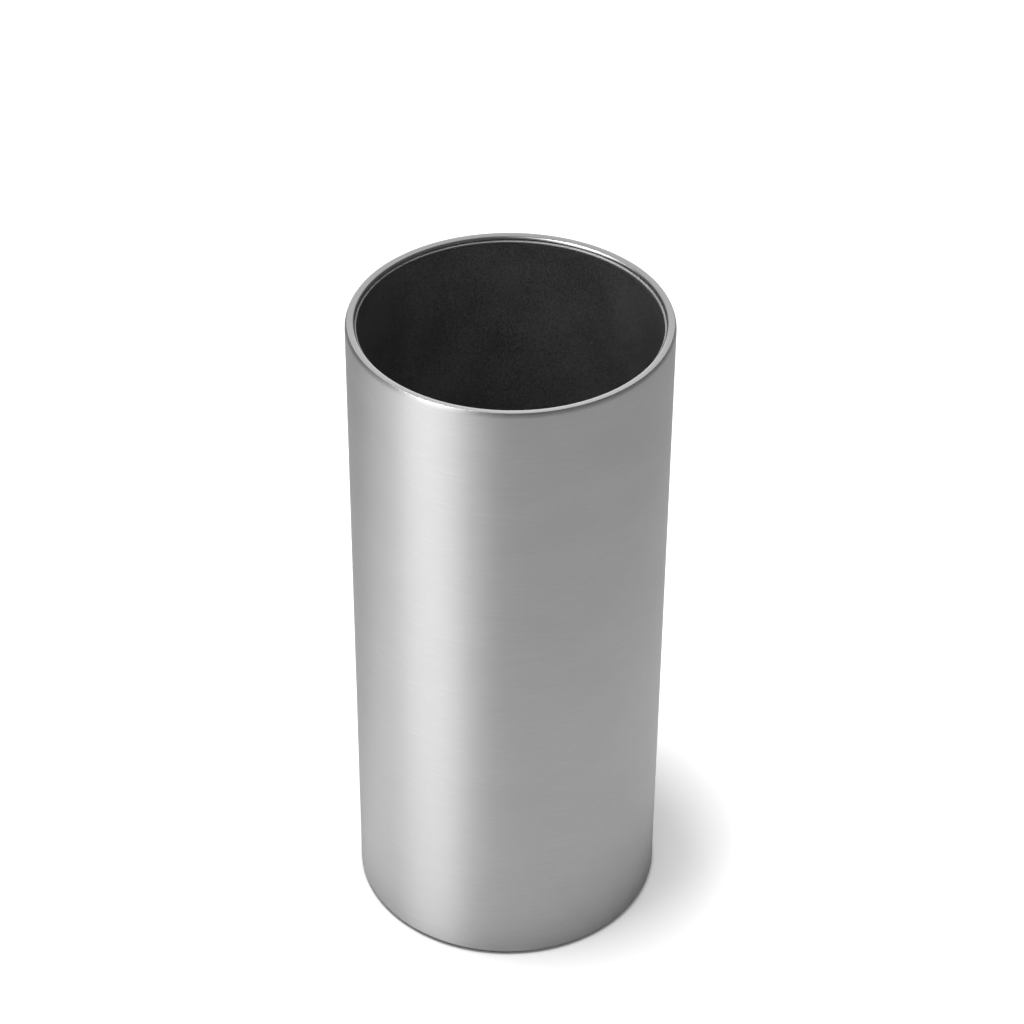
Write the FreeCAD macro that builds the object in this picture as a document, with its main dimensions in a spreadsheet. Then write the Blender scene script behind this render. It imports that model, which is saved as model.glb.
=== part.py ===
import FreeCAD, Part
import os

import Sketcher

# Table-top bottle cooler. A brushed steel wall with a flat turned-in rim stands round a moulded liner
# that holds the bottle. Foam fills the space between them, and a base plate with a soft foot ring
# closes the underside, held in by the rolled lower edge of the steel.
# Everything is round about +Z. The origin is on the table, under the middle. Sizes are in millimetres.

doc = FreeCAD.newDocument("bottle_cooler")


# ---- driving dimensions ----

SIZES = [
    ("body_diameter", 110.0, "outside of the steel wall"),
    ("total_height", 240.5, "table to the top of the rim"),
    ("sheet_thickness", 0.6, "steel sheet"),
    ("mouth_diameter", 102.4, "inside of the turned-down lip"),
    ("lip_depth", 2.4, "top of the rim to the end of the lip"),
    ("rim_edge_radius", 0.9, "outside of the bend between wall and rim"),
    ("lip_edge_radius", 1.4, "outside of the bend between rim and lip"),
    ("edge_clearance", 0.8, "table to the underside of the steel"),
    ("rolled_edge_radius", 1.2, "outside of the bend at the foot of the wall"),
    ("rolled_edge_width", 5.5, "how far the lower edge is turned in"),
    ("liner_wall", 2.0, "moulded wall and floor"),
    ("liner_draft", 2.0, "how much the liner's radius shrinks down to its floor"),
    ("liner_floor_height", 20.0, "table to the liner's floor"),
    ("liner_floor_radius", 5.0, "inside corner between floor and wall"),
    ("lip_gap", 0.1, "clearance behind the lip"),
    ("lip_end_gap", 0.2, "clearance under the end of the lip"),
    ("gasket_height", 1.0, "ring between liner and rim"),
    ("plate_thickness", 2.5, "base plate"),
    ("plate_gap", 0.2, "clearance between base plate and steel"),
    ("plate_chamfer", 0.8, "lower corner that clears the steel's bend"),
    ("collar_wall", 1.8, "collar on the base plate round the liner's skirt"),
    ("collar_height", 6.0, "height of that collar above the plate"),
    ("plate_recess_radius", 32.0, "bare field in the middle of the underside"),
    ("plate_recess_depth", 0.5, "depth of that field"),
    ("foot_inner_radius", 38.0, "inside of the foot ring's groove"),
    ("foot_outer_radius", 47.0, "outside of the foot ring's groove"),
    ("foot_groove_depth", 1.0, "how deep the foot ring sits in the plate"),
    ("foot_gap", 0.2, "clearance at the sides of the foot ring"),
    ("foot_edge_radius", 0.5, "rounded edges where the foot meets the table"),
    ("foot_line_width", 1.0, "grip lines cut in the foot ring"),
    ("foot_line_depth", 0.4, "depth of the grip lines"),
    ("foam_thickness", 1.0, "foam sheet round the liner"),
    ("foam_gap", 0.1, "clearance between foam and liner"),
    ("foam_low", 10.5, "lower edge of the foam sheet"),
    ("foam_high", 236.0, "upper edge of the foam sheet"),
    ("foam_disc_radius", 47.5, "foam under the floor"),
    ("pad_radius", 43.0, "soft pad that the bottle stands on"),
    ("pad_seat_depth", 0.6, "seat for the pad in the liner's floor"),
    ("pad_thickness", 2.2, "soft pad"),
    ("pad_gap", 0.2, "clearance round the pad in its seat"),
    ("pad_edge_radius", 0.7, "rounded top edge of the pad"),
    ("drain_count", 8, "drain grooves in the pad"),
    ("drain_width", 3.0, "width of a drain groove"),
    ("drain_depth", 0.9, "depth of a drain groove"),
    ("drain_start", 13.0, "distance of a drain groove's inner end from the middle"),
]

# Heights and radii that several pieces share, worked out from the sizes above.
SHARED = [
    ("body_radius", "=body_diameter / 2"),
    ("mouth_radius", "=mouth_diameter / 2"),
    ("wall_inside", "=body_radius - sheet_thickness"),
    ("lip_outside", "=mouth_radius + sheet_thickness"),
    ("rim_underside", "=total_height - sheet_thickness"),
    ("lip_end", "=total_height - lip_depth"),
    ("plate_bottom", "=edge_clearance + sheet_thickness"),
    ("plate_top", "=plate_bottom + plate_thickness"),
    ("liner_top", "=rim_underside - gasket_height"),
    ("liner_shoulder", "=lip_end - lip_end_gap"),
    ("rebate_radius", "=lip_outside + lip_gap"),
    ("liner_outside", "=mouth_radius + liner_wall"),
    ("floor_radius", "=mouth_radius - liner_draft"),
    ("floor_underside", "=liner_floor_height - liner_wall"),
    ("draft_slope", "=liner_draft / (liner_shoulder - liner_floor_height)"),
    ("pad_seat", "=liner_floor_height - pad_seat_depth"),
    ("pad_top", "=pad_seat + pad_thickness"),
    ("skirt_outside", "=liner_outside - draft_slope * (liner_top - plate_top)"),
    ("skirt_inside", "=floor_radius"),
    ("collar_inside", "=skirt_outside + plate_gap"),
]


def size_sheet():
    """The spreadsheet that every sub-part reads its sizes from."""
    table = doc.addObject("Spreadsheet::Sheet", "Sizes")
    row = 0
    for alias, value, note in SIZES:
        row += 1
        table.set(f"A{row}", alias)
        table.set(f"B{row}", str(value))
        table.set(f"C{row}", note)
        table.setAlias(f"B{row}", alias)
    for alias, formula in SHARED:
        row += 1
        table.set(f"A{row}", alias)
        table.set(f"B{row}", formula)
        table.setAlias(f"B{row}", alias)
    doc.recompute()
    return table


sheet = size_sheet()
NAMES = sorted([alias for alias, *_ in SIZES + SHARED], key=len, reverse=True)


# ---- small helpers ----


def bound(text):
    """The same formula with each alias written as a cell of the sheet."""
    words = text.replace("(", " ( ").replace(")", " ) ").split()
    return " ".join(f"Sizes.{word}" if word in NAMES else word for word in words)


def value(text):
    """What a formula is worth now."""
    return float(sheet.evalExpression(bound(text)))


def new_body(name):
    """An empty body whose label names its file."""
    body = doc.addObject("PartDesign::Body", name)
    body.Label = name
    body.Placement = FreeCAD.Placement()
    return body


def new_sketch(body, name, role):
    """An empty sketch on one of the body's own origin planes."""
    sketch = body.newObject("Sketcher::SketchObject", name)
    plane = next(f for f in body.Origin.OriginFeatures if f.Role == role)
    sketch.AttachmentSupport = [(plane, "")]
    sketch.MapMode = "FlatFace"
    return sketch


def outline(sketch, corners):
    """A closed outline through the corners, each held at two formulas of the sheet."""
    points = [FreeCAD.Vector(value(across), value(up), 0) for across, up in corners]
    for i, point in enumerate(points):
        sketch.addGeometry(Part.LineSegment(point, points[(i + 1) % len(points)]), False)
    for i in range(len(points)):
        following = (i + 1) % len(points)
        sketch.addConstraint(Sketcher.Constraint("Coincident", i, 2, following, 1))
    for i, corner in enumerate(corners):
        for kind, axis, formula in (("DistanceX", -2, corner[0]), ("DistanceY", -1, corner[1])):
            amount = value(formula)
            if abs(amount) < 1e-9:
                sketch.addConstraint(Sketcher.Constraint("PointOnObject", i, 1, axis))
                continue
            number = sketch.addConstraint(Sketcher.Constraint(kind, -1, 1, i, 1, amount))
            sketch.setExpression(f"Constraints[{number}]", bound(formula))


def turned(body, name, corners):
    """A section in the XZ plane, turned once round the axis."""
    sketch = new_sketch(body, f"{name}_section", "XZ_Plane")
    outline(sketch, corners)
    turn = body.newObject("PartDesign::Revolution", f"{name}_turn")
    turn.Profile = sketch
    turn.ReferenceAxis = (sketch, ["V_Axis"])
    turn.Angle = 360
    body.Tip = turn
    doc.recompute()
    return turn


def rings(feature, places):
    """The names of the feature's round edges at the given (radius, height) formulas."""
    found = []
    for radius, height in places:
        for number, edge in enumerate(feature.Shape.Edges, start=1):
            if not isinstance(edge.Curve, Part.Circle):
                continue
            off_radius = abs(edge.Curve.Radius - value(radius))
            off_height = abs(edge.Curve.Center.z - value(height))
            if off_radius < 0.01 and off_height < 0.01:
                found.append(f"Edge{number}")
    if len(found) < len(places):
        raise RuntimeError(f"{feature.Label}: only {found} of {places}")
    return found


def dressed(body, kind, name, base, places, amount):
    """A fillet or chamfer on the base feature's round edges."""
    feature = body.newObject(f"PartDesign::{kind}", name)
    feature.Base = (base, rings(base, places))
    prop = "Radius" if kind == "Fillet" else "Size"
    feature.setExpression(prop, bound(amount))
    body.Tip = feature
    doc.recompute()
    return feature


# ---- the steel wall ----


def outer_shell():
    """One sheet: rolled edge below, straight wall, flat rim, lip turned down inside."""
    body = new_body("outer_shell")
    flange_end = "body_radius - rolled_edge_width"
    turn = turned(
        body,
        "shell",
        [
            (flange_end, "edge_clearance"),
            ("body_radius", "edge_clearance"),
            ("body_radius", "total_height"),
            ("mouth_radius", "total_height"),
            ("mouth_radius", "lip_end"),
            ("lip_outside", "lip_end"),
            ("lip_outside", "rim_underside"),
            ("wall_inside", "rim_underside"),
            ("wall_inside", "plate_bottom"),
            (flange_end, "plate_bottom"),
        ],
    )
    bends = [
        ("rim_bend", "rim_edge_radius", ("body_radius", "total_height"), ("wall_inside", "rim_underside")),
        ("lip_bend", "lip_edge_radius", ("mouth_radius", "total_height"), ("lip_outside", "rim_underside")),
        ("foot_bend", "rolled_edge_radius", ("body_radius", "edge_clearance"), ("wall_inside", "plate_bottom")),
    ]
    last = turn
    for name, radius, outside, inside in bends:
        last = dressed(body, "Fillet", f"{name}_outside", last, [outside], radius)
        last = dressed(body, "Fillet", f"{name}_inside", last, [inside], f"{radius} - sheet_thickness")
    edges = [("mouth_radius", "lip_end"), ("lip_outside", "lip_end")]
    dressed(body, "Fillet", "lip_end_round", last, edges, "sheet_thickness * 0.4")
    return body


# ---- what holds the bottle ----


def inner_liner():
    """A moulded well with a little draft, a seat for the pad, and a skirt down to the base plate."""
    body = new_body("inner_liner")
    turn = turned(
        body,
        "liner",
        [
            ("0", "floor_underside"),
            ("skirt_inside", "floor_underside"),
            ("skirt_inside", "plate_top"),
            ("skirt_outside", "plate_top"),
            ("liner_outside", "liner_top"),
            ("rebate_radius", "liner_top"),
            ("rebate_radius", "liner_shoulder"),
            ("mouth_radius", "liner_shoulder"),
            ("floor_radius", "liner_floor_height"),
            ("pad_radius", "liner_floor_height"),
            ("pad_radius", "pad_seat"),
            ("0", "pad_seat"),
        ],
    )
    corner = [("floor_radius", "liner_floor_height")]
    dressed(body, "Fillet", "floor_corner", turn, corner, "liner_floor_radius")
    return body


def bottle_pad():
    """A soft disc in the floor's seat, with grooves that let meltwater run off to the side."""
    body = new_body("bottle_pad")
    edge = "pad_radius - pad_gap"
    turn = turned(
        body, "pad", [("0", "pad_seat"), (edge, "pad_seat"), (edge, "pad_top"), ("0", "pad_top")]
    )
    rounded = dressed(body, "Fillet", "pad_edge", turn, [(edge, "pad_top")], "pad_edge_radius")
    sketch = new_sketch(body, "drain_groove", "XY_Plane")
    sketch.AttachmentOffset = FreeCAD.Placement()
    sketch.setExpression(".AttachmentOffset.Base.z", bound("pad_top"))
    outline(
        sketch,
        [
            ("drain_start", "drain_width * -0.5"),
            ("pad_radius + 1", "drain_width * -0.5"),
            ("pad_radius + 1", "drain_width * 0.5"),
            ("drain_start", "drain_width * 0.5"),
        ],
    )
    pocket = body.newObject("PartDesign::Pocket", "drain_pocket")
    pocket.Profile = sketch
    pocket.setExpression("Length", bound("drain_depth"))
    body.Tip = pocket
    doc.recompute()
    if pocket.Shape.Volume > rounded.Shape.Volume - 1:
        raise RuntimeError("the drain groove cuts nothing")
    pattern = body.newObject("PartDesign::PolarPattern", "drain_pattern")
    pattern.Originals = [pocket]
    pattern.Axis = (sketch, ["N_Axis"])
    pattern.Angle = 360
    pattern.setExpression("Occurrences", bound("drain_count"))
    body.Tip = pattern
    doc.recompute()
    if pattern.Shape.Volume > pocket.Shape.Volume - 1:
        raise RuntimeError("the drain grooves aren't repeated")
    return body


# ---- inside the wall ----


def rim_gasket():
    """A soft ring between the liner's top edge and the flat underside of the rim."""
    outside = doc.addObject("Part::Cylinder", "gasket_outside")
    inside = doc.addObject("Part::Cylinder", "gasket_inside")
    flat_start = "mouth_radius + lip_edge_radius"
    for cylinder, radius in ((outside, "liner_outside"), (inside, flat_start)):
        cylinder.setExpression("Radius", bound(radius))
        cylinder.setExpression("Height", bound("gasket_height"))
        cylinder.setExpression(".Placement.Base.z", bound("liner_top"))
    ring = doc.addObject("Part::Cut", "rim_gasket")
    ring.Base = outside
    ring.Tool = inside
    ring.Label = "rim_gasket"
    return ring


def foam_wrap():
    """A foam sheet round the liner, as conical as the liner is."""
    body = new_body("foam_wrap")
    low = "liner_outside + foam_gap - draft_slope * ( liner_top - foam_low )"
    high = "liner_outside + foam_gap - draft_slope * ( liner_top - foam_high )"
    turned(
        body,
        "foam",
        [
            (low, "foam_low"),
            (f"{low} + foam_thickness", "foam_low"),
            (f"{high} + foam_thickness", "foam_high"),
            (high, "foam_high"),
        ],
    )
    return body


def foam_disc():
    """The foam between the base plate and the liner's floor."""
    disc = doc.addObject("Part::Cylinder", "foam_disc")
    disc.Label = "foam_disc"
    disc.setExpression("Radius", bound("foam_disc_radius"))
    disc.setExpression("Height", bound("floor_underside - plate_top"))
    disc.setExpression(".Placement.Base.z", bound("plate_top"))
    return disc


# ---- the underside ----


def base_plate():
    """A moulded disc on the rolled steel edge, with a collar for the liner and a groove for the foot."""
    body = new_body("base_plate")
    edge = "wall_inside - plate_gap"
    groove_top = "plate_bottom + foot_groove_depth"
    recess_top = "plate_bottom + plate_recess_depth"
    turn = turned(
        body,
        "plate",
        [
            ("0", recess_top),
            ("plate_recess_radius", recess_top),
            ("plate_recess_radius", "plate_bottom"),
            ("foot_inner_radius", "plate_bottom"),
            ("foot_inner_radius", groove_top),
            ("foot_outer_radius", groove_top),
            ("foot_outer_radius", "plate_bottom"),
            (edge, "plate_bottom"),
            (edge, "plate_top"),
            ("collar_inside + collar_wall", "plate_top"),
            ("collar_inside + collar_wall", "plate_top + collar_height"),
            ("collar_inside", "plate_top + collar_height"),
            ("collar_inside", "plate_top"),
            ("0", "plate_top"),
        ],
    )
    dressed(body, "Chamfer", "plate_corner", turn, [(edge, "plate_bottom")], "plate_chamfer")
    return body


def foot_ring():
    """A soft ring that stands on the table, with two grip lines."""
    body = new_body("foot_ring")
    inner = "foot_inner_radius + foot_gap"
    outer = "foot_outer_radius - foot_gap"
    top = "plate_bottom + foot_groove_depth"
    first = f"{inner} + ( {outer} - foot_inner_radius - foot_gap ) / 3"
    second = f"{inner} + ( {outer} - foot_inner_radius - foot_gap ) * 2 / 3"
    corners = [(inner, top), (inner, "0")]
    for middle in (first, second):
        corners.append((f"{middle} - foot_line_width / 2", "0"))
        corners.append((f"{middle} - foot_line_width / 2", "foot_line_depth"))
        corners.append((f"{middle} + foot_line_width / 2", "foot_line_depth"))
        corners.append((f"{middle} + foot_line_width / 2", "0"))
    corners += [(outer, "0"), (outer, top)]
    turn = turned(body, "foot", corners)
    dressed(body, "Fillet", "foot_edges", turn, [(inner, "0"), (outer, "0")], "foot_edge_radius")
    return body


# ---- build, check and write ----


def check(parts):
    """Stops if any object failed or any sub-part has no sound shape."""
    for thing in doc.Objects:
        bad = [state for state in thing.State if state in ("Invalid", "Error")]
        if bad:
            raise RuntimeError(f"{thing.Label}: {bad}")
    for part in parts:
        if part.Shape.isNull() or not part.Shape.isValid():
            raise RuntimeError(f"{part.Label}: no sound shape")


def main():
    """Builds every sub-part and writes each to its own file."""
    makers = [
        outer_shell,
        inner_liner,
        bottle_pad,
        rim_gasket,
        foam_wrap,
        foam_disc,
        base_plate,
        foot_ring,
    ]
    parts = [maker() for maker in makers]
    doc.recompute()
    check(parts)
    os.makedirs("parts", exist_ok=True)
    for part in parts:
        part.Shape.exportStep(f"parts/{part.Label}.step")
        box = part.Shape.optimalBoundingBox(False)
        print(
            f"{part.Label}: {len(part.Shape.Solids)} solid, {part.Shape.Volume:.0f} mm3, "
            f"z {box.ZMin:.2f} to {box.ZMax:.2f}, radius {box.XMax:.2f}"
        )


main()
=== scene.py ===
# %% [markdown]
# # A table-top bottle cooler in brushed steel
# A bar or a table at home keeps an opened bottle cold in one of these. A straight steel wall with a flat
# rim stands round a dark moulded liner, foam fills the space between them, and a plate with a soft foot
# closes the underside. The lesson builds the pieces that show, gives each one the finish of its real
# material, and sets up a small white studio round them. Everything is in metres, round +Z, with the
# table at z = 0.

# %% Load the frame
import math

import bpy
from mathutils import Matrix, Vector


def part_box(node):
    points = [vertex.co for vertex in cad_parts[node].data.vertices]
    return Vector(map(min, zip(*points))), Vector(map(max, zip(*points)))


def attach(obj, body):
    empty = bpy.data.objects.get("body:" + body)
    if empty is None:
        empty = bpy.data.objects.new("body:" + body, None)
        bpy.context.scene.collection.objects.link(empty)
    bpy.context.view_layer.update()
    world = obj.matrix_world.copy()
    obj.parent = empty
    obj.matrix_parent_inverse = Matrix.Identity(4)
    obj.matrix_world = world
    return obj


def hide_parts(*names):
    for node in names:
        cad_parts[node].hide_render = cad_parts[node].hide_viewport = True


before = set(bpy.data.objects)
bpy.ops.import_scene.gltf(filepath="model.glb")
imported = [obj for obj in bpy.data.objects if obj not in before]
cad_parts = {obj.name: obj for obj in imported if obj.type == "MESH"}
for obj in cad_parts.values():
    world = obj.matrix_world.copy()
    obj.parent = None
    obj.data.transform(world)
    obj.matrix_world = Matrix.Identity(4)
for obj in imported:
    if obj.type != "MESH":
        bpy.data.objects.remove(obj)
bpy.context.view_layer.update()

# %% [markdown]
# ## Measures
# The frame says how high each piece reaches, so heights are read from it. What a box can't say, such as
# the bend of the sheet, is written in millimetres, as on a drawing. The outer radius is written too,
# because a round mesh has corners and its box comes out a little small.

# %% Measures
MM = 0.001
shell_low, shell_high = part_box("outer_shell")

WALL_RADIUS = 55.0 * MM
MOUTH_RADIUS = 51.2 * MM
SHEET = 0.6 * MM
SHOULDER_DROP = 2.0 * MM
SHOULDER_IN = 0.6 * MM
RIM_CORNER = 0.2 * MM
RIM_DISH = 0.25 * MM
LIP_CORNER = 1.0 * MM
LIP_STEP = 0.5 * MM
STEP_HEIGHT = 0.8 * MM
STEP_CORNER = 0.2 * MM
LIP_DEPTH = 2.4 * MM
FOOT_BEND = 1.2 * MM
FOOT_TURN_IN = 5.5 * MM
RIM_TOP = shell_high.z
TABLE_GAP = shell_low.z
print("rim top", round(RIM_TOP / MM, 2), "mm, gap under the steel", round(TABLE_GAP / MM, 2), "mm")

# %% [markdown]
# ## Outlines
# Each round piece is a section turned about its axis, which is also how a spinning lathe or a turned
# mould makes the real one. A section is a row of (radius, height) points. Three helpers draw its bends,
# its straight runs and its rounded corners. Points along a straight run don't change the shape, but they
# keep the faces even.

# %% Arcs, straight runs and rounded corners
RUN_STEPS = 40


def arc(centre, radius, start, stop, steps=10):
    """Points of an arc in the (radius, height) plane, from one angle to another in degrees."""
    points = []
    for i in range(steps + 1):
        angle = math.radians(start + (stop - start) * i / steps)
        points.append((centre[0] + radius * math.cos(angle), centre[1] + radius * math.sin(angle)))
    return points


def straight(start, stop, steps):
    """Points along a straight run, without its two ends."""
    return [
        (start[0] + (stop[0] - start[0]) * i / steps, start[1] + (stop[1] - start[1]) * i / steps)
        for i in range(1, steps)
    ]


def rounded(before, corner, after, radius, steps=5):
    """Points of an arc that rounds the corner of two straight runs."""
    corner = Vector(corner)
    back = (Vector(before) - corner).normalized()
    ahead = (Vector(after) - corner).normalized()
    half = back.angle(ahead) / 2
    centre = corner + (back + ahead).normalized() * radius / math.sin(half)
    start = corner + back * radius / math.tan(half) - centre
    turn_angle = start.angle_signed(corner + ahead * radius / math.tan(half) - centre)
    points = []
    for i in range(steps + 1):
        points.append(tuple(centre + Matrix.Rotation(-turn_angle * i / steps, 2) @ start))
    return points


print("a quarter bend has", len(arc((0, 0), 1, 0, 90)), "points")

# %% [markdown]
# ## Turning
# A Screw modifier would turn the outline too. Rings built directly give the same mesh with nothing left
# to apply, and each ring is even, so a highlight runs round it without a kink. 288 steps leave the
# wall's edge 3 thousandths of a millimetre from a true circle.

# %% Turn an outline about Z
TURN_STEPS = 288


def turn(name, outline, sharp=35):
    """Turns a closed outline about Z. A point on the axis becomes one vertex, not a ring."""
    vertices = []
    rings = []
    for radius, height in outline:
        first = len(vertices)
        count = TURN_STEPS if radius > 0 else 1
        for step in range(count):
            angle = 2 * math.pi * step / TURN_STEPS
            vertices.append((radius * math.cos(angle), radius * math.sin(angle), height))
        rings.append([first + step % count for step in range(TURN_STEPS + 1)])
    faces = []
    for low, high in zip(rings, rings[1:] + rings[:1]):
        for step in range(TURN_STEPS):
            corners = [low[step], low[step + 1], high[step + 1], high[step]]
            face = list(dict.fromkeys(corners))
            if len(face) > 2:
                faces.append(face)
    mesh = bpy.data.meshes.new(name)
    mesh.from_pydata(vertices, [], faces)
    mesh.shade_smooth()
    mesh.set_sharp_from_angle(angle=math.radians(sharp))
    piece = bpy.data.objects.new(name, mesh)
    bpy.context.scene.collection.objects.link(piece)
    return piece


sagitta = WALL_RADIUS * (1 - math.cos(math.pi / TURN_STEPS))
print(TURN_STEPS, "steps leave the edge", round(sagitta / MM, 4), "mm inside the circle")

# %% [markdown]
# ## The steel wall
# The real wall is a drawn stainless cup. Its closed end was pierced out to leave a rim, the edge of the
# hole was turned down into a short lip, and the open end was rolled in at the foot. It is one sheet,
# 0.6 mm thick, so the section here is one closed outline with both sides of the sheet. Three small
# things catch the light: the wall leans in over its last 2 mm and meets the rim at a fine corner, the
# rim dips a quarter of a millimetre towards the mouth, and the lip ends in a small step. A bevel all
# over would blur them into one line, so each has its own arc.

# %% Where the wall's section turns
foot_end = WALL_RADIUS - FOOT_TURN_IN
foot_centre = (WALL_RADIUS - FOOT_BEND, TABLE_GAP + FOOT_BEND)
shoulder_radius = (SHOULDER_DROP**2 + SHOULDER_IN**2) / (2 * SHOULDER_IN)
shoulder_turn = math.degrees(math.asin(SHOULDER_DROP / shoulder_radius))
shoulder_centre = (WALL_RADIUS - shoulder_radius, RIM_TOP - SHOULDER_DROP)
shoulder_foot = (WALL_RADIUS, RIM_TOP - SHOULDER_DROP)
lip_radius = MOUTH_RADIUS + LIP_STEP
lip_top = RIM_TOP - RIM_DISH
lip_end = RIM_TOP - LIP_DEPTH

shoulder_bend = arc(shoulder_centre, shoulder_radius, 0, shoulder_turn, steps=12)
rim_edge = shoulder_bend.pop()
rim_run = (lip_radius, lip_top)
step_start = (lip_radius, lip_end + STEP_HEIGHT)
step_edge = (MOUTH_RADIUS, lip_end + STEP_HEIGHT)
step_foot = (MOUTH_RADIUS, lip_end)
print("the shoulder's arc has a radius of", round(shoulder_radius / MM, 2), "mm")

# %% The wall's outline, outside first and then back along the inside of the sheet
wall_outline = [(foot_end, TABLE_GAP)]
wall_outline += arc(foot_centre, FOOT_BEND, -90, 0)
wall_outline += straight(wall_outline[-1], shoulder_foot, RUN_STEPS)
wall_outline += shoulder_bend
wall_outline += rounded(shoulder_bend[-1], rim_edge, rim_run, RIM_CORNER)
wall_outline += rounded(rim_edge, rim_run, step_start, LIP_CORNER, steps=10)
wall_outline += [step_start]
wall_outline += rounded(step_start, step_edge, step_foot, STEP_CORNER)
wall_outline += rounded(step_edge, step_foot, (lip_radius, lip_end), STEP_CORNER)
wall_outline += [(lip_radius + SHEET, lip_end), (lip_radius + SHEET, lip_top - SHEET)]
wall_outline += [(rim_edge[0] - SHEET / 2, RIM_TOP - SHEET), (WALL_RADIUS - SHEET, shoulder_foot[1])]
wall_outline += arc(foot_centre, FOOT_BEND - SHEET, 0, -90, steps=6)
wall_outline += [(foot_end, TABLE_GAP + SHEET)]

wall = turn("steel_wall", wall_outline)
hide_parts("outer_shell")
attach(wall, "root")
print("steel wall:", len(wall_outline), "points,", len(wall.data.polygons), "faces")

# %% [markdown]
# ## The liner
# The dark inside is a separate injection-moulded tub. It has 0.5 degrees of draft, so that it leaves its
# mould, a 5 mm corner round the floor, a shallow seat for the pad, and a skirt below the floor that
# stands in the base plate. Its top tucks in behind the steel lip. It is turned the same way as the wall.

# %% The liner's section
LINER_WALL = 2.0 * MM
LINER_DRAFT = 2.0 * MM
FLOOR_CORNER = 5.0 * MM
FLOOR_HEIGHT = 20.0 * MM
SEAT_RADIUS = 43.0 * MM
SEAT_DEPTH = 0.6 * MM
LIP_CLEARANCE = 0.1 * MM
LIP_GAP = 0.2 * MM
liner_low, liner_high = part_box("inner_liner")

shoulder = lip_end - LIP_GAP
behind_lip = lip_radius + SHEET + LIP_CLEARANCE
floor_radius = MOUTH_RADIUS - LINER_DRAFT
corner_centre = (floor_radius - FLOOR_CORNER, FLOOR_HEIGHT + FLOOR_CORNER)
under_floor = FLOOR_HEIGHT - LINER_WALL

slope = LINER_DRAFT / (shoulder - FLOOR_HEIGHT)
skirt = MOUTH_RADIUS + LINER_WALL - slope * (liner_high.z - liner_low.z)

liner_outline = [(0.0, FLOOR_HEIGHT - SEAT_DEPTH), (SEAT_RADIUS, FLOOR_HEIGHT - SEAT_DEPTH)]
liner_outline += [(SEAT_RADIUS, FLOOR_HEIGHT)]
liner_outline += arc(corner_centre, FLOOR_CORNER, -90, 0, steps=12)
liner_outline += straight(liner_outline[-1], (MOUTH_RADIUS, shoulder), RUN_STEPS)
liner_outline += [(MOUTH_RADIUS, shoulder), (behind_lip, shoulder), (behind_lip, liner_high.z)]
liner_outline += [(MOUTH_RADIUS + LINER_WALL, liner_high.z), (skirt, liner_low.z)]
liner_outline += [(floor_radius, liner_low.z), (floor_radius, under_floor), (0.0, under_floor)]

liner = turn("moulded_liner", liner_outline)
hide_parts("inner_liner")
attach(liner, "root")
print("liner:", len(liner_outline), "points, floor radius", round(floor_radius / MM, 2), "mm")

# %% [markdown]
# ## Pieces that keep their CAD shape
# The pad, the gasket, the foam, the base plate and the foot ring are already right: turned sections
# with their grooves cut. Building them again would add nothing that the eye could find, so they stay as
# the frame gives them, and later cells only put a real finish in their material slots.

# %% What stays
kept = [name for name in sorted(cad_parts) if name not in ("outer_shell", "inner_liner")]
print("kept from the frame:", ", ".join(kept))

# %% [markdown]
# ## Colours and nodes
# Colours are written as sRGB hex codes, the way a colour picker shows them. Shaders work in linear
# light, so one function turns a code to linear values. A second one adds a node, sets it up and links
# its inputs. Each material below is then only a list of nodes that can be read from top to bottom.

# %% Helpers for materials
def linear(code):
    """An sRGB hex colour, such as #c0c0c0, as linear RGBA."""
    values = [int(code[i : i + 2], 16) / 255 for i in (1, 3, 5)]
    return [v / 12.92 if v <= 0.04045 else ((v + 0.055) / 1.055) ** 2.4 for v in values] + [1.0]


def add(tree, kind, inputs=None, **settings):
    """Adds a node with its settings. An input is a plain value, or another node's output to link."""
    node = tree.nodes.new(kind)
    for name, setting in settings.items():
        setattr(node, name, setting)
    for name, value in (inputs or {}).items():
        if isinstance(value, bpy.types.NodeSocket):
            tree.links.new(value, node.inputs[name])
        else:
            node.inputs[name].default_value = value
    return node


def new_material(name):
    """An empty node material and its tree."""
    material = bpy.data.materials.new(name)
    material.use_nodes = True
    material.node_tree.nodes.clear()
    return material, material.node_tree


print("mid grey #808080 is", round(linear("#808080")[0], 3), "in linear light")

# %% [markdown]
# ## Where a scratch runs
# A brushed finish is made by an abrasive belt held against the turning wall. Its scratches are thin lines
# that run round the piece: level on the wall, and in rings on the flat rim. A flat texture would need a
# seam. Two numbers need none: which way a point lies from the axis, and its height less its radius. The
# second keeps growing up the wall, over the bend and in across the rim, so the lines follow the sheet
# all the way. Noise is then stretched: long in the first direction, and thin in the second.

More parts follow.
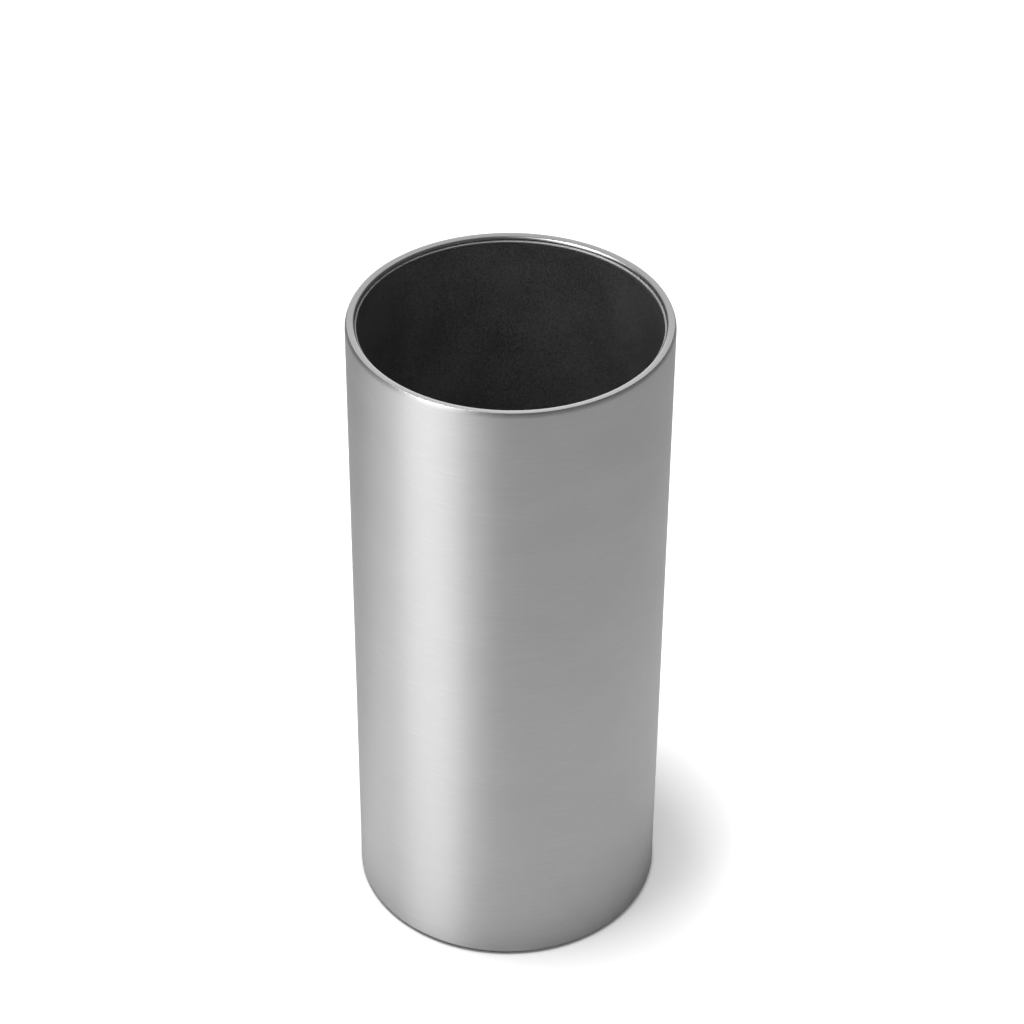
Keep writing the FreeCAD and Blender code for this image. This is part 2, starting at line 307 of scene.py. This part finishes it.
# %% Coordinates along and across the brushing
def along_the_brush(tree, stroke, line):
    """A noise vector in which a scratch is about stroke long and line wide, both in metres."""
    place = add(tree, "ShaderNodeTexCoord").outputs["Object"]
    level = add(tree, "ShaderNodeVectorMath", {0: place, 1: (1, 1, 0)}, operation="MULTIPLY").outputs[0]
    reach = add(tree, "ShaderNodeVectorMath", {0: level}, operation="LENGTH").outputs["Value"]
    outward = add(tree, "ShaderNodeVectorMath", {0: level}, operation="NORMALIZE").outputs[0]
    around = add(
        tree, "ShaderNodeVectorMath", {0: outward, "Scale": WALL_RADIUS / stroke}, operation="SCALE"
    ).outputs[0]
    height = add(tree, "ShaderNodeSeparateXYZ", {0: place}).outputs["Z"]
    over = add(tree, "ShaderNodeMath", {0: height, 1: reach}, operation="SUBTRACT").outputs[0]
    across = add(tree, "ShaderNodeMath", {0: over, 1: 1 / line}, operation="MULTIPLY").outputs[0]
    lifted = add(tree, "ShaderNodeCombineXYZ", {"Z": across}).outputs[0]
    return add(tree, "ShaderNodeVectorMath", {0: around, 1: lifted}, operation="ADD").outputs[0]


print("once round the wall is", round(2 * math.pi * WALL_RADIUS / MM), "mm of brushing")

# %% [markdown]
# ## Brushed stainless steel
# The wall is 304 stainless sheet with a fine belt-brushed finish. To the eye it is a soft neutral grey
# that mirrors the room sideways but smears it up and down, across the scratches. That is what the
# anisotropic setting does: the radial tangent runs round the axis, and a quarter turn puts the long side
# of the smear across it. The scratches of a 180-grit belt are about 0.06 mm apart, too fine to draw, so
# they are drawn 0.35 mm apart. Shorter, broader marks show here and there as wisps, and the roughness
# drifts a little over a few centimetres, as the pressure on a belt does.

# %% The marks of the belt
SCRATCH_LENGTH = 16 * MM
SCRATCH_WIDTH = 0.35 * MM
SCRATCH_DEPTH = 0.01 * MM
WISP_LENGTH = 6 * MM
WISP_WIDTH = 0.6 * MM
WISP_SHARE = 0.5
DRIFT_LENGTH = 30 * MM
DRIFT_WIDTH = 14 * MM

brushed_steel, tree = new_material("brushed_304_stainless")
lines = add(
    tree,
    "ShaderNodeTexNoise",
    {"Vector": along_the_brush(tree, SCRATCH_LENGTH, SCRATCH_WIDTH), "Scale": 1.0, "Detail": 2.0},
).outputs[0]
wisps = add(
    tree,
    "ShaderNodeTexNoise",
    {"Vector": along_the_brush(tree, WISP_LENGTH, WISP_WIDTH), "Scale": 1.0, "Detail": 3.0},
).outputs[0]
drift = add(
    tree,
    "ShaderNodeTexNoise",
    {"Vector": along_the_brush(tree, DRIFT_LENGTH, DRIFT_WIDTH), "Scale": 1.0, "Detail": 2.0},
).outputs[0]
rare = add(
    tree, "ShaderNodeMapRange", {"Value": wisps, "From Min": 0.55, "From Max": 0.75}
).outputs[0]
marks = add(
    tree, "ShaderNodeMath", {0: rare, 1: WISP_SHARE, 2: lines}, operation="MULTIPLY_ADD"
).outputs[0]
print("scratches", SCRATCH_WIDTH / MM, "mm wide,", SCRATCH_LENGTH / MM, "mm long")

# %% Brushed steel
SHEET_DARK = "#c8c8c8"
SHEET_LIGHT = "#d2d2d2"
SHEET_ROUGH = (0.44, 0.455)
SMEAR = 0.95
QUARTER_TURN = 0.25

tone = add(
    tree, "ShaderNodeMix", {0: marks, 6: linear(SHEET_DARK), 7: linear(SHEET_LIGHT)}, data_type="RGBA"
).outputs[2]
dull = add(
    tree,
    "ShaderNodeMapRange",
    {"Value": drift, "From Min": 0.3, "From Max": 0.7, "To Min": SHEET_ROUGH[0], "To Max": SHEET_ROUGH[1]},
).outputs[0]
relief = add(
    tree, "ShaderNodeBump", {"Height": marks, "Strength": 0.25, "Distance": SCRATCH_DEPTH}
).outputs[0]
round_z = add(tree, "ShaderNodeTangent", direction_type="RADIAL", axis="Z").outputs[0]
metal = add(
    tree,
    "ShaderNodeBsdfPrincipled",
    {
        "Base Color": tone,
        "Metallic": 1.0,
        "Roughness": dull,
        "Anisotropic": SMEAR,
        "Anisotropic Rotation": QUARTER_TURN,
        "Tangent": round_z,
        "Normal": relief,
    },
)
add(tree, "ShaderNodeOutputMaterial", {"Surface": metal.outputs[0]})
wall.data.materials.append(brushed_steel)
print("roughness from", SHEET_ROUGH[0], "to", SHEET_ROUGH[1])

# %% [markdown]
# ## Buffed rim and ground step
# The rim is where a hand or a bottle touches the steel, so it is buffed after brushing. The metal is the
# same, but far smoother, and its bend into the mouth shows the lamps as thin crisp lines. The step at the
# end of the lip is the cut edge of the sheet, ground and left matt, so it is a soft pale line next to the
# dark liner. One mesh can carry several materials: each face takes the slot for the place where it lies.

# %% Buffed and ground steel
HAZE_LENGTH = 20 * MM
HAZE_WIDTH = 0.3 * MM
HAZE_DEPTH = 0.004 * MM
WORKED_DARK = "#cccccc"
WORKED_LIGHT = "#d3d3d3"


def worked_steel(name, smooth, rough):
    """The same steel, buffed or ground, between two roughnesses."""
    material, tree = new_material(name)
    place = along_the_brush(tree, HAZE_LENGTH, HAZE_WIDTH)
    haze = add(tree, "ShaderNodeTexNoise", {"Vector": place, "Scale": 1.0, "Detail": 2.0}).outputs[0]
    dull = add(
        tree,
        "ShaderNodeMapRange",
        {"Value": haze, "From Min": 0.3, "From Max": 0.7, "To Min": smooth, "To Max": rough},
    ).outputs[0]
    tone = add(
        tree, "ShaderNodeMix", {0: haze, 6: linear(WORKED_DARK), 7: linear(WORKED_LIGHT)}, data_type="RGBA"
    ).outputs[2]
    relief = add(
        tree, "ShaderNodeBump", {"Height": haze, "Strength": 0.1, "Distance": HAZE_DEPTH}
    ).outputs[0]
    metal = add(
        tree,
        "ShaderNodeBsdfPrincipled",
        {"Base Color": tone, "Metallic": 1.0, "Roughness": dull, "Normal": relief},
    )
    add(tree, "ShaderNodeOutputMaterial", {"Surface": metal.outputs[0]})
    return material


wall.data.materials.append(worked_steel("buffed_304_stainless", smooth=0.24, rough=0.30))
wall.data.materials.append(worked_steel("ground_304_stainless", smooth=0.58, rough=0.66))
print("the wall has", len(wall.data.materials), "materials")

# %% Give the rim and the step their materials
BRUSHED, BUFFED, GROUND = range(3)
HAIR = 0.01 * MM

for face in wall.data.polygons:
    radius = math.hypot(face.center.x, face.center.y)
    on_rim = radius < rim_edge[0] and face.center.z > RIM_TOP - 2 * LIP_DEPTH
    on_step = on_rim and radius < lip_radius and face.center.z < step_edge[1] + HAIR
    face.material_index = GROUND if on_step else BUFFED if on_rim else BRUSHED
for index, material in enumerate(wall.data.materials):
    count = sum(face.material_index == index for face in wall.data.polygons)
    print(material.name, "is on", count, "faces")

# %% [markdown]
# ## Moulded charcoal ABS
# The liner and the base plate are injection-moulded ABS. The mould is spark-eroded, which leaves an even
# matt grain, so the plastic has a soft broad sheen and hides scuffs. Real grain is about 0.1 mm. It is
# drawn at 0.6 mm, where it still reads as fine speckle. ABS has an IOR of about 1.54, and the grain
# puts its roughness near 0.5.

# %% Moulded ABS for the liner and the base plate
GRAIN = 0.6 * MM
GRAIN_DEPTH = 0.08 * MM
PATCH = 22 * MM
PATCH_SHARE = 0.5
ABS_IOR = 1.54


def moulded_abs(name, dark, light, rough):
    """ABS from a spark-eroded mould, from its darkest to its lightest grain."""
    material, tree = new_material(name)
    place = add(tree, "ShaderNodeTexCoord").outputs["Object"]
    fine = add(
        tree, "ShaderNodeTexNoise", {"Vector": place, "Scale": 1 / GRAIN, "Detail": 2.0}
    ).outputs[0]
    slow = add(
        tree, "ShaderNodeTexNoise", {"Vector": place, "Scale": 1 / PATCH, "Detail": 3.0}
    ).outputs[0]
    patchy = add(
        tree, "ShaderNodeMath", {0: slow, 1: PATCH_SHARE, 2: fine}, operation="MULTIPLY_ADD"
    ).outputs[0]
    amount = add(
        tree, "ShaderNodeMapRange", {"Value": patchy, "From Min": 0.6, "From Max": 0.9}
    ).outputs[0]
    tone = add(
        tree, "ShaderNodeMix", {0: amount, 6: linear(dark), 7: linear(light)}, data_type="RGBA"
    ).outputs[2]
    dull = add(
        tree,
        "ShaderNodeMapRange",
        {"Value": patchy, "From Min": 0.5, "From Max": 1.0, "To Min": rough - 0.06, "To Max": rough + 0.06},
    ).outputs[0]
    relief = add(
        tree, "ShaderNodeBump", {"Height": fine, "Strength": 0.5, "Distance": GRAIN_DEPTH}
    ).outputs[0]
    plastic = add(
        tree,
        "ShaderNodeBsdfPrincipled",
        {"Base Color": tone, "Roughness": dull, "IOR": ABS_IOR, "Normal": relief},
    )
    add(tree, "ShaderNodeOutputMaterial", {"Surface": plastic.outputs[0]})
    return material


liner.data.materials.append(moulded_abs("moulded_charcoal_abs", "#454545", "#646464", rough=0.44))
plate_abs = moulded_abs("moulded_black_abs", "#1c1d1e", "#262728", rough=0.55)
print("the mould's grain is drawn", round(GRAIN / MM, 2), "mm wide")

# %% [markdown]
# ## Silicone rubber
# The foot ring and the gasket are moulded silicone. It is soft and grips the table. Its surface is
# smooth but dusty, so it has a faint waxy shine, an IOR of about 1.43, and lint that lightens it in
# small specks.

# %% Silicone for the foot ring and the gasket
LINT = 0.8 * MM
LINT_DEPTH = 0.05 * MM
SILICONE_IOR = 1.43

silicone, tree = new_material("moulded_silicone_rubber")
place = add(tree, "ShaderNodeTexCoord").outputs["Object"]
dust = add(tree, "ShaderNodeTexNoise", {"Vector": place, "Scale": 1 / LINT, "Detail": 4.0}).outputs[0]
speck = add(tree, "ShaderNodeMapRange", {"Value": dust, "From Min": 0.55, "From Max": 0.8}).outputs[0]
tone = add(
    tree, "ShaderNodeMix", {0: speck, 6: linear("#232425"), 7: linear("#3a3b3c")}, data_type="RGBA"
).outputs[2]
dull = add(tree, "ShaderNodeMapRange", {"Value": dust, "To Min": 0.45, "To Max": 0.65}).outputs[0]
relief = add(tree, "ShaderNodeBump", {"Height": dust, "Strength": 0.3, "Distance": LINT_DEPTH}).outputs[0]
rubber = add(
    tree,
    "ShaderNodeBsdfPrincipled",
    {"Base Color": tone, "Roughness": dull, "IOR": SILICONE_IOR, "Normal": relief},
)
add(tree, "ShaderNodeOutputMaterial", {"Surface": rubber.outputs[0]})
print("specks of lint are", round(LINT / MM, 2), "mm wide")

# %% [markdown]
# ## Foams
# The pad under the bottle is EVA, cut from a sheet with a skin of tiny closed cells. The insulation is
# pale polyethylene foam with bigger cells. Both are beads pressed together, and a Voronoi pattern has
# that look: the distance to the nearest centre is a field of small domes with dark joints.

# %% EVA and polyethylene foam
WEAR = 12 * MM
CELL_DEPTH = 0.1 * MM
FOAM_IOR = 1.48


def foam(name, dark, light, cell, rough):
    """Closed-cell foam with cells of one size, in metres."""
    material, tree = new_material(name)
    place = add(tree, "ShaderNodeTexCoord").outputs["Object"]
    cells = add(tree, "ShaderNodeTexVoronoi", {"Vector": place, "Scale": 1 / cell}).outputs["Distance"]
    worn = add(
        tree, "ShaderNodeTexNoise", {"Vector": place, "Scale": 1 / WEAR, "Detail": 3.0}
    ).outputs[0]
    amount = add(tree, "ShaderNodeMath", {0: cells, 1: worn}, operation="MULTIPLY").outputs[0]
    tone = add(
        tree, "ShaderNodeMix", {0: amount, 6: linear(light), 7: linear(dark)}, data_type="RGBA"
    ).outputs[2]
    dull = add(
        tree, "ShaderNodeMapRange", {"Value": worn, "To Min": rough - 0.08, "To Max": rough + 0.08}
    ).outputs[0]
    relief = add(
        tree, "ShaderNodeBump", {"Height": cells, "Strength": 0.5, "Distance": CELL_DEPTH}, invert=True
    ).outputs[0]
    body = add(
        tree,
        "ShaderNodeBsdfPrincipled",
        {"Base Color": tone, "Roughness": dull, "IOR": FOAM_IOR, "Normal": relief},
    )
    add(tree, "ShaderNodeOutputMaterial", {"Surface": body.outputs[0]})
    return material


pad_eva = foam("cut_eva_foam", "#161718", "#2a2b2c", cell=0.9 * MM, rough=0.8)
wall_foam = foam("closed_cell_pe_foam", "#b9b9b2", "#e2e2dc", cell=1.6 * MM, rough=0.9)
print("foams:", pad_eva.name, "and", wall_foam.name)

# %% Finishes of the pieces that stay
finishes = {
    "bottle_pad": pad_eva,
    "rim_gasket": silicone,
    "foam_wrap": wall_foam,
    "foam_disc": wall_foam,
    "base_plate": plate_abs,
    "foot_ring": silicone,
}
for node, material in finishes.items():
    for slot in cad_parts[node].material_slots:
        slot.material = material
    print(node, "has", material.name)

# %% [markdown]
# ## The white table
# The cooler stands on a sheet of white card that reaches far behind it. Light from the lamps alone would
# leave the card light grey. More light would burn out the steel. So the card also glows, but only for
# rays that come from the camera or from a reflection. Matt surfaces get no light from that glow, and the
# card keeps the object's shadow. Far from the lamps the card is dimmer, so there the glow is stronger.
# It ends at the foot, and that cut is a painted contact shadow over the real shade under the steel: the
# thin dark line there seats the cooler on the table. In a reflection the card carries a painted pool of
# light on the side of the big lamp, and painted shade close to the foot, where the cooler hides half of the
# sky.

# %% A sheet of card
CARD_REACH = 6.0

card_mesh = bpy.data.meshes.new("floor_card")
edges = (-CARD_REACH, CARD_REACH)
card_mesh.from_pydata([(x, y, 0) for x in edges for y in edges], [], [(0, 2, 3, 1)])
card = bpy.data.objects.new("floor_card", card_mesh)
bpy.context.scene.collection.objects.link(card)
print("the card is", 2 * CARD_REACH, "m wide")

# %% White card
PULP = 1.5 * MM
CARD_GLOW = 0.40
FAR_GLOW = 0.95
# Painted contact shadow: the camera's glow fades out over this width on each side of the foot's edge.
PAINTED_CONTACT_SOFTNESS = 1.2 * MM
# Painted light: a pool of the big lamp's light, seen only in reflections of the card.
PAINTED_POOL_LOW = 0.02
PAINTED_POOL_HIGH = 0.56
LAMP_SIDE = Vector((-0.866, -0.5, 0.0))
PAINTED_POOL_MIDDLE = Vector((-0.02, -0.01, 0.0))
PAINTED_POOL_FAN = (0.45, 0.95)
# Painted shade: the card's glow in reflections fades out within these radii of the axis.
PAINTED_SHADE_REACH = (0.04, 0.20)
LAMPS_FADE = (0.3, 1.5)

white_card, tree = new_material("matt_white_card")
place = add(tree, "ShaderNodeTexCoord").outputs["Object"]
pulp = add(tree, "ShaderNodeTexNoise", {"Vector": place, "Scale": 1 / PULP, "Detail": 3.0}).outputs[0]
tone = add(
    tree, "ShaderNodeMix", {0: pulp, 6: linear("#f0f0f0"), 7: linear("#f6f6f6")}, data_type="RGBA"
).outputs[2]
paper = add(tree, "ShaderNodeBsdfDiffuse", {"Color": tone, "Roughness": 0.5})
reach = add(tree, "ShaderNodeVectorMath", {0: place}, operation="LENGTH").outputs["Value"]
print("fibres in the card are", round(PULP / MM, 2), "mm long")

# %% Its glow in a reflection: a painted pool of lamp light, with painted shade near the foot
from_middle = add(tree, "ShaderNodeVectorMath", {0: place, 1: PAINTED_POOL_MIDDLE}, operation="SUBTRACT").outputs[0]
bearing = add(tree, "ShaderNodeVectorMath", {0: from_middle}, operation="NORMALIZE").outputs[0]
toward = add(
    tree, "ShaderNodeVectorMath", {0: bearing, 1: LAMP_SIDE}, operation="DOT_PRODUCT"
).outputs["Value"]
# A painted pool of light: in reflections the card glows brighter on the big lamp's side.
painted_lamp_pool = add(
    tree,
    "ShaderNodeMapRange",
    {
        "Value": toward,
        "From Min": PAINTED_POOL_FAN[0],
        "From Max": PAINTED_POOL_FAN[1],
        "To Min": PAINTED_POOL_LOW,
        "To Max": PAINTED_POOL_HIGH,
    },
    interpolation_type="SMOOTHSTEP",
).outputs[0]
# Painted shade: close to the foot the card's glow in reflections fades to nothing.
painted_sky_seen = add(
    tree, "ShaderNodeMapRange", {"Value": reach, "From Min": PAINTED_SHADE_REACH[0], "From Max": PAINTED_SHADE_REACH[1]}
).outputs[0]
painted_glow_in_reflections = add(tree, "ShaderNodeMath", {0: painted_lamp_pool, 1: painted_sky_seen}, operation="MULTIPLY").outputs[0]
print("the card's glow in reflections goes from", PAINTED_POOL_LOW, "to", PAINTED_POOL_HIGH)

# %% Its glow for the camera, with a painted contact shadow at the foot
far_or_near = add(
    tree,
    "ShaderNodeMapRange",
    {
        "Value": reach,
        "From Min": LAMPS_FADE[0],
        "From Max": LAMPS_FADE[1],
        "To Min": CARD_GLOW,
        "To Max": FAR_GLOW,
    },
).outputs[0]
# Painted contact shadow: the camera's glow fades to nothing under the steel's foot.
clear = add(
    tree,
    "ShaderNodeMapRange",
    {"Value": reach, "From Min": WALL_RADIUS - PAINTED_CONTACT_SOFTNESS, "From Max": WALL_RADIUS + PAINTED_CONTACT_SOFTNESS},
    interpolation_type="SMOOTHSTEP",
).outputs[0]
seen = add(tree, "ShaderNodeMath", {0: far_or_near, 1: clear}, operation="MULTIPLY").outputs[0]
print("the card's glow for the camera goes from", CARD_GLOW, "to", FAR_GLOW)

# %% Each kind of ray gets its glow
ray = add(tree, "ShaderNodeLightPath")
shiny = add(
    tree,
    "ShaderNodeMath",
    {0: ray.outputs["Is Glossy Ray"], 1: ray.outputs["Is Transmission Ray"]},
    operation="MAXIMUM",
).outputs[0]
# The painted pool of light and the painted shade reach only glossy and transmission rays.
painted_glow_for_shiny_rays = add(tree, "ShaderNodeMath", {0: shiny, 1: painted_glow_in_reflections}, operation="MULTIPLY").outputs[0]
glow = add(
    tree,
    "ShaderNodeMath",
    {0: ray.outputs["Is Camera Ray"], 1: seen, 2: painted_glow_for_shiny_rays},
    operation="MULTIPLY_ADD",
).outputs[0]
light = add(tree, "ShaderNodeEmission", {"Strength": glow})
both = add(tree, "ShaderNodeAddShader", {0: paper.outputs[0], 1: light.outputs[0]})
add(tree, "ShaderNodeOutputMaterial", {"Surface": both.outputs[0]})
white_card.cycles.emission_sampling = "NONE"
card_mesh.materials.append(white_card)
print(white_card.name, "is on", card.name)

# %% [markdown]
# ## The room
# Steel has no look of its own. It shows the room, so a world of one even grey would leave it flat. Matt
# surfaces here get an even soft fill. What shines sees a studio: a pale screen straight behind the
# cooler, brightest near the table, and dark cloth everywhere else. The camera itself sees plain white.
# The world is smooth, so it isn't sampled as a lamp. Then each ray gets the level meant for its kind.

# %% The room
ROOM_FILL = 0.25
ROOM_DARK = 0.11
ROOM_BACK = 0.66
ROOM_HORIZON = 0.95
SCREEN_SIDES = (0.25, 0.55)
SCREEN_RISE = (0.3, 0.6)
HORIZON_RISE = (0.85, 1.0)

world = bpy.data.worlds.new("studio_room")
bpy.context.scene.world = world
world.cycles.sampling_method = "NONE"
world.use_nodes = True
tree = world.node_tree
tree.nodes.clear()
direction = add(tree, "ShaderNodeTexCoord").outputs["Generated"]
parts = add(tree, "ShaderNodeSeparateXYZ", {0: direction})
facing = parts.outputs["Y"]
aside = add(tree, "ShaderNodeMath", {0: parts.outputs["X"]}, operation="ABSOLUTE").outputs[0]
between = add(
    tree,
    "ShaderNodeMapRange",
    {"Value": aside, "From Min": SCREEN_SIDES[0], "From Max": SCREEN_SIDES[1], "To Min": 1.0, "To Max": 0.0},
    interpolation_type="SMOOTHSTEP",
).outputs[0]
screen = add(
    tree,
    "ShaderNodeMapRange",
    {"Value": facing, "From Min": SCREEN_RISE[0], "From Max": SCREEN_RISE[1], "To Max": ROOM_BACK},
    interpolation_type="SMOOTHSTEP",
).outputs[0]
behind = add(
    tree, "ShaderNodeMath", {0: screen, 1: between, 2: ROOM_DARK}, operation="MULTIPLY_ADD"
).outputs[0]
horizon = add(
    tree,
    "ShaderNodeMapRange",
    {"Value": facing, "From Min": HORIZON_RISE[0], "From Max": HORIZON_RISE[1], "To Max": ROOM_HORIZON},
).outputs[0]
studio = add(tree, "ShaderNodeMath", {0: behind, 1: horizon}, operation="ADD").outputs[0]
print("in reflections the studio goes from", ROOM_DARK, "to", ROOM_DARK + ROOM_BACK + ROOM_HORIZON)

# %% Each kind of ray gets its room
ray = add(tree, "ShaderNodeLightPath")
shiny = add(
    tree,
    "ShaderNodeMath",
    {0: ray.outputs["Is Glossy Ray"], 1: ray.outputs["Is Transmission Ray"]},
    operation="MAXIMUM",
).outputs[0]
shine = add(tree, "ShaderNodeMix", {0: shiny, 2: ROOM_FILL, 3: studio}).outputs[0]
strength = add(
    tree, "ShaderNodeMix", {0: ray.outputs["Is Camera Ray"], 2: shine, 3: 1.0}
).outputs[0]
sky = add(tree, "ShaderNodeBackground", {"Strength": strength})
add(tree, "ShaderNodeOutputWorld", {"Surface": sky.outputs[0]})
print("matt surfaces get a fill of", ROOM_FILL)

# %% [markdown]
# ## The lamps
# A big softbox stands on the left, a little to the front. Its reflection is the bright stripe down the
# wall. A honeycomb grid narrows its light, so the box looks brightest straight on and fades towards its
# edges. The lamp's spread angle does the same, and the stripe gets a soft bell shape instead of two hard
# sides. A small lamp overhead gives the table its light and the cooler its short shadow. A third one,
# high on the left, is there for the gleam on the rim. As in a studio, each lamp has one job: flags keep
# the first and the third off matt surfaces, and the second out of the steel.

# %% A softbox
def softbox(name, place, aim, size, power, spread):
    """A rectangular area lamp at one place, turned to face another."""
    data = bpy.data.lights.new(name, "AREA")
    data.shape = "RECTANGLE"
    data.size, data.size_y = size
    data.energy = power
    data.spread = math.radians(spread)
    lamp = bpy.data.objects.new(name, data)
    lamp.location = place
    lamp.rotation_mode = "QUATERNION"
    lamp.rotation_quaternion = (Vector(aim) - Vector(place)).to_track_quat("-Z", "Y")
    lamp.visible_camera = False
    bpy.context.scene.collection.objects.link(lamp)
    print(name, "stands", round(lamp.location.length, 2), "m away and has", power, "W")
    return lamp


# %% The three lamps
GRID_SPREAD = 90
BARE_SPREAD = 180
WALL_MIDDLE = (0, 0, 0.12)
RIM_MIDDLE = (0, 0, 0.24)
FOOT_MIDDLE = (0, 0, 0)

key = softbox(
    "front_left_softbox", (-0.70, -0.53, 0.60), WALL_MIDDLE, size=(0.72, 0.8), power=0.66, spread=GRID_SPREAD
)
key.visible_diffuse = False
top = softbox(
    "overhead_lamp", (-0.05, -0.025, 1.0), FOOT_MIDDLE, size=(0.17, 0.17), power=9.6, spread=BARE_SPREAD
)
top.visible_glossy = False
gleam = softbox(
    "overhead_left_softbox", (-0.35, -0.05, 0.90), RIM_MIDDLE, size=(0.3, 0.3), power=3.6, spread=BARE_SPREAD
)
gleam.visible_diffuse = False
print("lamps:", key.name, top.name, gleam.name)

# %% [markdown]
# ## The camera
# A product shot of a tall piece is taken from above with a long lens, so that its sides stay nearly
# parallel. This camera stands about 1.1 m away, looks down by 37 degrees, and is level to half a degree.
# Its axes are worked out from those angles, which is plainer than aiming it with a constraint.

# %% The camera
PITCH = 0.64517
SWING = 0.00113
ROLL = 0.0078
CAMERA_BACK = 0.82348
CAMERA_HEIGHT = 0.78036
LENS = 104.37
SENSOR = 36.0

forward = Vector((math.sin(SWING) * math.cos(PITCH), math.cos(SWING) * math.cos(PITCH), -math.sin(PITCH)))
right = Vector((math.cos(SWING), -math.sin(SWING), 0))
up = right.cross(forward)
across = math.cos(ROLL) * right + math.sin(ROLL) * up
upward = -math.sin(ROLL) * right + math.cos(ROLL) * up

camera_data = bpy.data.cameras.new("camera")
camera_data.sensor_width = SENSOR
camera_data.lens = LENS
camera = bpy.data.objects.new("camera", camera_data)
axes = Matrix((across, upward, -forward)).transposed()
camera.matrix_world = Matrix.Translation((0, -CAMERA_BACK, CAMERA_HEIGHT)) @ axes.to_4x4()
bpy.context.scene.collection.objects.link(camera)
bpy.context.scene.camera = camera
bpy.context.scene.view_settings.view_transform = "Standard"
print("camera looks down by", round(math.degrees(PITCH), 1), "degrees with a", LENS, "mm lens")
